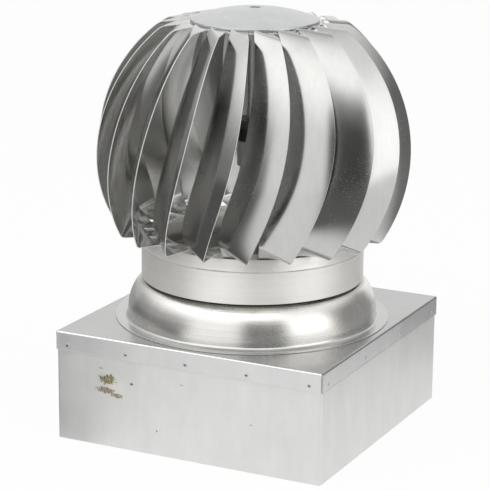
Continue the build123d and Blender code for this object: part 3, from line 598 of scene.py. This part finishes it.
def blade_middle(seed):
    """Whole blade with both folded tabs, as rows from the lower tab's end to the upper tab's end.  Each
    fold starts and ends at a share of the flat beside it, where the straight rows stop."""
    across = np.concatenate([[0, 0.006], np.linspace(0.03, 0.97, 22), [0.994, 1]])
    share = np.linspace(0.0, 1.0, 121)
    strip = blade_strip(share, across)
    ring, plate = RING_TOP + BLADE_SHEET / 2, CAP_BOTTOM - BLADE_SHEET / 2
    low = [tab_row(r, LOWER_TAB[0], ring, across) for r in LOWER_TAB[1:]]
    high = [tab_row(r, UPPER_TAB[0], plate, across) for r in UPPER_TAB[1:]]
    strip[3:-3] += wave(strip[3:-3], share[3:-3], across, seed)
    neck_fold, tab_fold = 0.12, 0.15
    rows = [between(low[1], low[0], 6, (0, 1 - tab_fold))]
    rows.append(fold(rows[0][-1], low[0], between(low[0], strip[0], 2, (neck_fold, 1))[0]))
    rows.append(between(low[0], strip[0], 9, (neck_fold, 1 - neck_fold)))
    rows.append(fold(rows[-1][-1], strip[0], strip[2]))
    rows.append(strip[2:-2])
    rows.append(fold(strip[-3], strip[-1], between(strip[-1], high[0], 2, (neck_fold, 1))[0]))
    rows.append(between(strip[-1], high[0], 9, (neck_fold, 1 - neck_fold)))
    rows.append(fold(rows[-1][-1], high[0], between(high[0], high[1], 2, (tab_fold, 1))[0]))
    rows.append(between(high[0], high[1], 6, (tab_fold, 1)))
    return np.concatenate(rows)


for number in range(BLADES):
    middle = blade_middle(BLADE_SEED + number)
    points, faces = sheet_from(middle, BLADE_SHEET)
    flats = 2 * (middle.shape[0] - 1) * (middle.shape[1] - 1)
    points = turned(points, FIRST_BLADE + 360 * number / BLADES)
    label = "blade_%02d" % (number + 1)
    piece("bent_" + label, points, faces, "wheel", blade_steel, [label],
          rim=(flats, cut_edge_highlight))


# ---- throat collar, band, ring and cap ----------------------------------------------

def collar_path():
    """Middle of the spun sheet: flat foot, concave roll, quarter ellipse, small roll and neck."""
    half = COLLAR_SHEET / 2
    foot = LID_TOP + half
    a = np.radians(np.linspace(270, 180, 14))
    roll_x, roll_z = BULGE_RADIUS + FOOT_ROLL, LID_TOP + COLLAR_SHEET + FOOT_ROLL
    roll = np.stack([roll_x + (FOOT_ROLL + half) * np.cos(a), roll_z + (FOOT_ROLL + half) * np.sin(a)], 1)
    b = np.radians(np.linspace(0, 90, 60))
    neck_x, neck_z = NECK_RADIUS + NECK_ROLL, BULGE_TOP + NECK_ROLL
    bulge = np.stack([neck_x + (BULGE_RADIUS - half - neck_x) * np.cos(b),
                      roll_z + (neck_z - NECK_ROLL - half - roll_z) * np.sin(b)], 1)
    c = np.radians(np.linspace(270, 180, 12))
    turn = np.stack([neck_x + (NECK_ROLL + half) * np.cos(c), neck_z + (NECK_ROLL + half) * np.sin(c)], 1)
    flat = np.stack([np.linspace(roll_x + FOOT_FLANGE - half, roll_x, 8), np.full(8, foot)], 1)
    neck = np.stack([np.full(8, NECK_RADIUS - half), np.linspace(neck_z, NECK_TOP - half, 8)], 1)
    return np.concatenate([flat[:-1], roll, bulge[1:], turn[1:], neck[1:]])


points, faces = spun(thickened(collar_path(), COLLAR_SHEET))
piece("spun_collar", points, faces, "base", spun_steel, ["throat_collar"])

leg = BAND_RADIUS - WHEEL_SHEET
band = [(leg, BAND_BOTTOM), (BAND_RADIUS, BAND_BOTTOM), (BAND_RADIUS, BAND_TOP), (leg, BAND_TOP)]
points, faces = spun(rounded(band, BAND_ROUNDING))
piece("wheel_band", points, faces, "wheel", band_steel, ["skirt_band"])

bead = BAND_RADIUS + RING_BEAD
ring = [(leg, BAND_TOP - RING_LEG), (leg, BAND_TOP), (bead, BAND_TOP), (bead, BAND_TOP + WHEEL_SHEET),
        (leg, BAND_TOP + 2 * WHEEL_SHEET), (RING_SHOULDER, RING_TOP), (RING_INNER, RING_TOP),
        (RING_INNER, RING_TOP - WHEEL_SHEET), (RING_SHOULDER - WHEEL_SHEET, RING_TOP - WHEEL_SHEET),
        (leg - WHEEL_SHEET, BAND_TOP + WHEEL_SHEET), (leg - WHEEL_SHEET, BAND_TOP - RING_LEG)]
points, faces = spun(rounded(ring, RING_ROUNDING))
piece("blade_ring", points, faces, "wheel", band_steel, ["lower_ring"])


def cap_path():
    """Lip straight up, a small bend drawn as a parabola, then a spherical dome in to the hole."""
    inset = CAP_SHEET / 2
    radius, lip_top = CAP_RADIUS - inset, CAP_BOTTOM + CAP_LIP
    inwards, above, below = CAP_BEND
    sphere = (CAP_RADIUS ** 2 + CAP_RISE ** 2) / (2 * CAP_RISE)
    centre = lip_top + CAP_RISE - sphere
    r = np.linspace(radius - inwards, CAP_HOLE + inset, 60)
    shell = np.stack([r, centre + np.sqrt((sphere - inset) ** 2 - r ** 2)], 1)
    start, corner, end = np.array([radius, lip_top - below]), np.array([radius, lip_top + above]), shell[0]
    t = np.linspace(0, 1, 8)[:, None]
    bend = (1 - t) ** 2 * start + 2 * t * (1 - t) * corner + t ** 2 * end
    lip = np.stack([np.full(3, radius), np.linspace(CAP_BOTTOM + inset, lip_top - below, 3)], 1)
    return np.concatenate([lip[:-1], bend, shell[1:]])


points, faces = spun(thickened(cap_path(), CAP_SHEET), 256)
piece("domed_cap", points, faces, "wheel", cap_steel, ["cap"])


# ---- square base ------------------------------------------------------------------

def lid_top():
    """Flat top of the lid: rays from the throat's edge to the square where the bends start, with a
    slight drumming of the free sheet that dies out at the collar and the bends."""
    rays = np.unique(np.concatenate([np.linspace(0, 360, 360, endpoint=False), [45, 135, 225, 315]]))
    angle = np.radians(rays)
    edge = (LID_HALF - LID_BEND) / np.maximum(np.abs(np.cos(angle)), np.abs(np.sin(angle)))
    t = np.concatenate([[0, 0.01], np.linspace(0.05, 0.97, 30), [1]])[:, None]
    radius = THROAT_RADIUS + LID_SHEET / 2 + t * (edge - THROAT_RADIUS - LID_SHEET / 2)
    x, y = radius * np.cos(angle), radius * np.sin(angle)
    to_bend = LID_HALF - LID_BEND - np.maximum(abs(x), abs(y))
    free = np.clip((radius - DRUM_START) / DRUM_FADE, 0, 1) * np.clip(to_bend / DRUM_EDGE, 0, 1)
    drum = DRUM_HEIGHT * ripple(x / LID_SIDE, y / LID_SIDE, DRUM_SEED, finest=2.6) * free ** 1.5
    return np.stack([x, y, LID_TOP - LID_SHEET / 2 + drum - DRUM_SAG * free], -1)


def lid_side():
    """Bend and flange on the -Y side: the section runs over the bend and down; its ends follow the
    mitre and leave an open joint down the flange."""
    bend_level, bend_out = LID_TOP - LID_BEND, LID_HALF - LID_BEND
    a = np.radians(np.linspace(90, 0, 10))
    middle = LID_BEND - LID_SHEET / 2
    out = np.concatenate([middle * np.cos(a), np.full(11, middle)])
    z = bend_level + np.concatenate([middle * np.sin(a), np.linspace(-0.5, LID_BEND - FLANGE_DROP, 11)])
    along = np.concatenate([[-1, -0.996], np.linspace(-0.98, 0.98, 61), [0.996, 1]])
    gap = CORNER_SLIT * np.clip((bend_level - z) / LID_BEND, 0, 1) + LID_SHEET / 2
    x = along[None] * (bend_out + out - gap)[:, None]
    drop = np.clip((bend_level - z) / (FLANGE_DROP - LID_BEND), 0, 1)[:, None]
    sway = ripple(x / LID_SIDE, 0 * x, FLANGE_SEED, waves=5, finest=4) - 0.4
    y = -(bend_out + out[:, None]) + FLANGE_WAVE * drop * sway
    return np.stack([x, np.maximum(y, -LID_HALF + LID_SHEET / 2 - FLANGE_PLAY), z[:, None] + 0 * x], -1)


top_points, top_faces = sheet_from(lid_top(), LID_SHEET, wrap=True)
side_points, side_faces = sheet_from(lid_side(), LID_SHEET)
lid_parts = [(top_points, outward(top_points, top_faces))]
for quarter in range(4):
    lid_parts.append((turned(side_points, 90 * quarter), outward(side_points, side_faces)))
points, faces = several(lid_parts)
piece("folded_lid", points, faces, "base", lid_steel, ["base_lid"])


def skirt_wall():
    """Sleeve of the skirt: a square with rounded corners carried up from the lower edge, with sides
    that are drawn in slightly and unevenly where neither a corner nor the lid holds them."""
    half, corner = SKIRT_HALF - SKIRT_SHEET / 2, SKIRT_CORNER - SKIRT_SHEET / 2
    flat = half - corner
    side = np.concatenate([[0, 0.004], np.linspace(0.02, 0.98, 48), [0.996, 1]]) * 2 * flat - half + corner
    arc = np.radians(np.linspace(0, 90, 8))[1:-1]
    bend = np.stack([flat + corner * np.sin(arc), -half + corner - corner * np.cos(arc)], 1)
    run = np.concatenate([np.stack([side, np.full(len(side), -half)], 1), bend])
    run = np.c_[run, np.zeros(len(run))]
    ring = np.concatenate([turned(run, 90 * quarter)[:, :2] for quarter in range(4)])
    z = np.concatenate([[SKIRT_SHEET / 2, 1.0], np.linspace(3, 110, 40), [LID_TOP - SKIRT_TUCK]])
    x, y = ring[None, :, 0], ring[None, :, 1]
    hollow = 0.5 * ripple(x / LID_SIDE + y / LID_SIDE, z[:, None] / LID_SIDE, SKIRT_SEED, waves=6, finest=2.2)
    free = np.sin(np.pi * np.clip(z / (LID_TOP - FLANGE_DROP), 0, 1))[:, None]
    flatness = np.clip(1 - (np.minimum(abs(x), abs(y)) / (half - 6)) ** 2, 0, 1)
    shift = (hollow + 0.5) * free * flatness * SKIRT_WAVE
    inward = -ring / np.linalg.norm(ring, axis=1)[:, None]
    xy = ring[None] + shift[..., None] * inward[None]
    return np.concatenate([xy, np.broadcast_to(z[:, None, None], xy.shape[:2] + (1,))], -1)


points, faces = sheet_from(skirt_wall(), SKIRT_SHEET, wrap=True)
piece("skirt_sleeve", points, faces, "base", skirt_steel, ["base_skirt"])


# ---- rivets of the lid ----------------------------------------------------------------

def on_flanges(points):
    """Copies of a shape that stands on +Z, set on the lid's flanges: x' = along, y' = -(half + z)."""
    reach, level = LID_HALF - RIVET_INSET, LID_TOP - RIVET_DROP
    for quarter, count in enumerate(RIVET_ROWS):
        for along in np.linspace(-reach, reach, count):
            placed = np.stack([points[:, 0] + along, -(LID_HALF + points[:, 2]), points[:, 1] + level], 1)
            yield turned(placed, 90 * quarter)


def revolved(profile, segments=20):
    """Turns a (radius, z) profile about +Z; its two ends lie on the axis."""
    angle = np.linspace(0, TURN, segments, endpoint=False)[None, :]
    r, z = np.asarray(profile, float).T[..., None]
    points = np.stack([r * np.cos(angle), r * np.sin(angle), z + 0 * angle], -1)
    return points.reshape(-1, 3), grid_faces(len(profile), segments, False, True)


def flange_rivets(name, profile, material, stands_for=()):
    """One piece of all the lid's rivets, each turned from a (radius, z) profile."""
    points, faces = revolved(profile)
    faces = outward(points, faces)
    points, faces = several([(copy, outward(copy, faces)) for copy in on_flanges(points)])
    piece(name, points, faces, "base", material, stands_for, poles=True)


# profiles as (radius, height above the flange), from the outer end of the axis to the inner one: a
# drawn head with its dished hole, shank and swollen tail, and the broken end of the pin in the hole
DRAWN_RIVET = [(0, 0.15), (0.95, 0.15), (1.05, 0.62), (1.25, 0.66), (1.6, 0.5), (1.95, 0.22), (2.1, 0.0),
               (2.05, -0.2), (1.25, -0.25), (1.2, -2.2), (1.5, -2.3), (1.5, -2.7), (0, -2.7)]
RIVET_PIN = [(0, 0.42), (0.6, 0.4), (0.9, 0.3), (0.92, 0.16), (0, 0.16)]
flange_rivets("drawn_rivets", DRAWN_RIVET, rivet_metal, ["lid_rivets"])
flange_rivets("rivet_pins", RIVET_PIN, pin_steel)


# ---- studio: floor, world and lamps, for reflections as much as for light -------------
FLOOR_HALF = 30.0                  # metres
FLOOR_GLOW, MIRRORED_FLOOR_GLOW = 0.93, 0.95   # share of plain light, to the camera and in mirrors
EVEN_LIGHT, MIRRORED_LIGHT = 0.7, 1.1          # strength on matt surfaces and in mirrors
# bright parts of what mirrors show: azimuth, half width and softness
CEILING, WINDOW = (262, 72, 14), (-8, 22, 4)
# dull walls: azimuth, half width, softness, darkening, elevations where the top fades, and the
# foot's darkening with the distances (m) where it begins and is full on the floor
WALLS = [(-52, 21, 3, 0.93, 31, 43, 0.9, 0.45, 0.85), (47, 32, 7, 0.82, 18, 50, 0.8, 0.3, 0.5),
         (199, 38, 5, 0.74, 6, 36, 0.92, 0.12, 0.3), (149, 13, 8, 0.55, 10, 40, 0.7, 0.2, 0.4)]


def sector(tree, level_way, middle, half, soft):
    """1 where a level direction lies within half degrees of an azimuth, fading over soft either way."""
    dot = tree.nodes.new("ShaderNodeVectorMath")
    dot.operation = "DOT_PRODUCT"
    tree.links.new(level_way, dot.inputs[0])
    a = math.radians(middle)
    dot.inputs[1].default_value = (math.cos(a), math.sin(a), 0)
    return maps(tree, dot.outputs["Value"], *(math.cos(math.radians(half + s * soft)) for s in (1, -1)))


def sines(*degrees):
    """Heights of unit vectors at these elevations."""
    return [math.sin(math.radians(d)) for d in degrees]


def walls(tree, level_way, height=None, far=None):
    """Share of light that the dull walls leave by height, or their feet on the floor by distance."""
    left = 1.0
    for middle, half, soft, dark, low, high, foot, near, off in WALLS:
        there = sector(tree, level_way, middle, half, soft)
        if height is None:
            reach = maps(tree, far, near, off, 0.0, foot)
        else:
            reach = maps(tree, height, *sines(low, high), dark, 0.0)
        keep = maths(tree, "SUBTRACT", 1.0, maths(tree, "MULTIPLY", there, reach))
        left = maths(tree, "MULTIPLY", left, keep)
    return left


def light_path(tree):
    """Camera and transmission rays, and glossy rays."""
    path = tree.nodes.new("ShaderNodeLightPath")
    seen = maths(tree, "MAXIMUM", path.outputs["Is Camera Ray"], path.outputs["Is Transmission Ray"])
    return seen, path.outputs["Is Glossy Ray"]


def floor_paper():
    """Matt pale paper that shows as nearly plain white, and as the feet of the walls in mirrors."""
    material = bpy.data.materials.new("pale_floor")
    material.use_nodes = True
    tree = material.node_tree
    shader = tree.nodes["Principled BSDF"]
    shader.inputs["Base Color"].default_value = (0.9, 0.9, 0.9, 1)
    shader.inputs["Roughness"].default_value = 0.9
    seen, mirrored = light_path(tree)
    share = maths(tree, "ADD", maths(tree, "MULTIPLY", seen, FLOOR_GLOW),
                  maths(tree, "MULTIPLY", mirrored, MIRRORED_FLOOR_GLOW))
    white = tree.nodes.new("ShaderNodeEmission")
    place = tree.nodes.new("ShaderNodeTexCoord").outputs["Object"]
    far = tree.nodes.new("ShaderNodeVectorMath")
    far.operation = "LENGTH"
    tree.links.new(place, far.inputs[0])
    shade = walls(tree, levelled(tree, place), far=far.outputs["Value"])
    shade = maths(tree, "MULTIPLY", shade, mirrored)
    tree.links.new(maths(tree, "MAXIMUM", shade, seen), white.inputs["Strength"])
    blend = tree.nodes.new("ShaderNodeMixShader")
    tree.links.new(share, blend.inputs[0])
    tree.links.new(shader.outputs[0], blend.inputs[1])
    tree.links.new(white.outputs[0], blend.inputs[2])
    tree.links.new(blend.outputs[0], tree.nodes["Material Output"].inputs["Surface"])
    return material


corners = [(x * FLOOR_HALF, y * FLOOR_HALF, 0) for x, y in ((-1, -1), (1, -1), (1, 1), (-1, 1))]
floor_mesh = bpy.data.meshes.new("floor")
floor_mesh.from_pydata(corners, [], [(0, 1, 2, 3)])
floor_mesh.materials.append(floor_paper())
floor = bpy.data.objects.new("floor", floor_mesh)
bpy.context.scene.collection.objects.link(floor)


def studio():
    """World: plain white to the camera, even light for shading, and in mirrors a studio with dull
    walls, one bright side window and a bright ceiling towards the front."""
    world = bpy.data.worlds.new("studio")
    bpy.context.scene.world = world
    world.use_nodes = True
    tree = world.node_tree
    background = tree.nodes["Background"]
    background.inputs["Color"].default_value = (1, 1, 1, 1)
    way = tree.nodes.new("ShaderNodeTexCoord").outputs["Generated"]
    split = tree.nodes.new("ShaderNodeSeparateXYZ")
    tree.links.new(way, split.inputs[0])
    height, level_way = split.outputs["Z"], levelled(tree, way)
    lit_height = maths(tree, "MULTIPLY", maps(tree, height, *sines(20, 44)),
                       maps(tree, height, *sines(60, 84), 0.55, 0.1))
    ceiling = maths(tree, "MULTIPLY", sector(tree, level_way, *CEILING), lit_height)
    window = maths(tree, "MULTIPLY", sector(tree, level_way, *WINDOW),
                   maps(tree, height, *sines(24, 46), 0.65, 0.0))
    light = maths(tree, "MULTIPLY", walls(tree, level_way, height),
                  maps(tree, height, *sines(50, 85), 1.0, 0.6))
    light = maths(tree, "ADD", maths(tree, "MULTIPLY", light, MIRRORED_LIGHT),
                  maths(tree, "ADD", ceiling, window))
    seen, mirrored = light_path(tree)
    strength = maths(tree, "ADD", maths(tree, "MULTIPLY", seen, 1 - EVEN_LIGHT), EVEN_LIGHT)
    more = maths(tree, "MULTIPLY", mirrored, maths(tree, "SUBTRACT", light, EVEN_LIGHT))
    tree.links.new(maths(tree, "ADD", strength, more), background.inputs["Strength"])


studio()


def soft_lamp(name, azimuth, elevation, width, height, brightness=1.5, distance=3.0, aim=0.25):
    """Soft lamp turned towards a point on the axis; mirrors show the studio in its stead."""
    a, e = math.radians(azimuth), math.radians(elevation)
    way = Vector((math.cos(a) * math.cos(e), math.sin(a) * math.cos(e), math.sin(e)))
    lamp = bpy.data.lights.new(name, "AREA")
    lamp.shape = "RECTANGLE"
    lamp.size, lamp.size_y = width, height
    lamp.energy = brightness * math.pi * width * height
    made = bpy.data.objects.new(name, lamp)
    made.location = way * distance + Vector((0, 0, aim))
    made.rotation_euler = way.to_track_quat("Z", "Y").to_euler()
    made.visible_glossy = False
    bpy.context.scene.collection.objects.link(made)


soft_lamp("side_lamp", 1, 15, 1.7, 2.4)
soft_lamp("overhead_lamp", -105, 50, 4.2, 1.9)


# ---- camera: azimuth from -Y towards +X, elevation and roll in degrees; aim and distance in metres
AZIMUTH, ELEVATION, ROLL = (math.radians(angle) for angle in (26.13, 15.19, 0.57))
AIM, DISTANCE = 0.191, 2.21475
FOCAL_LENGTH, SENSOR = 155.73, 36.0
SHIFT_X, SHIFT_Y = -0.01574, -0.00198

back = Vector((math.sin(AZIMUTH) * math.cos(ELEVATION), -math.cos(AZIMUTH) * math.cos(ELEVATION),
               math.sin(ELEVATION)))
right = Vector((math.cos(AZIMUTH), math.sin(AZIMUTH), 0))
up = back.cross(right)
right, up = right * math.cos(ROLL) + up * math.sin(ROLL), up * math.cos(ROLL) - right * math.sin(ROLL)
lens = bpy.data.cameras.new("camera")
lens.lens, lens.sensor_width = FOCAL_LENGTH, SENSOR
lens.shift_x, lens.shift_y = SHIFT_X, SHIFT_Y
lens.clip_end = 100.0
camera = bpy.data.objects.new("camera", lens)
bpy.context.scene.collection.objects.link(camera)
turn = Matrix((right, up, back)).transposed().to_4x4()
camera.matrix_world = Matrix.Translation(Vector((0, 0, AIM)) + back * DISTANCE) @ turn
bpy.context.scene.camera = camera
bpy.context.scene.view_settings.view_transform = "Standard"
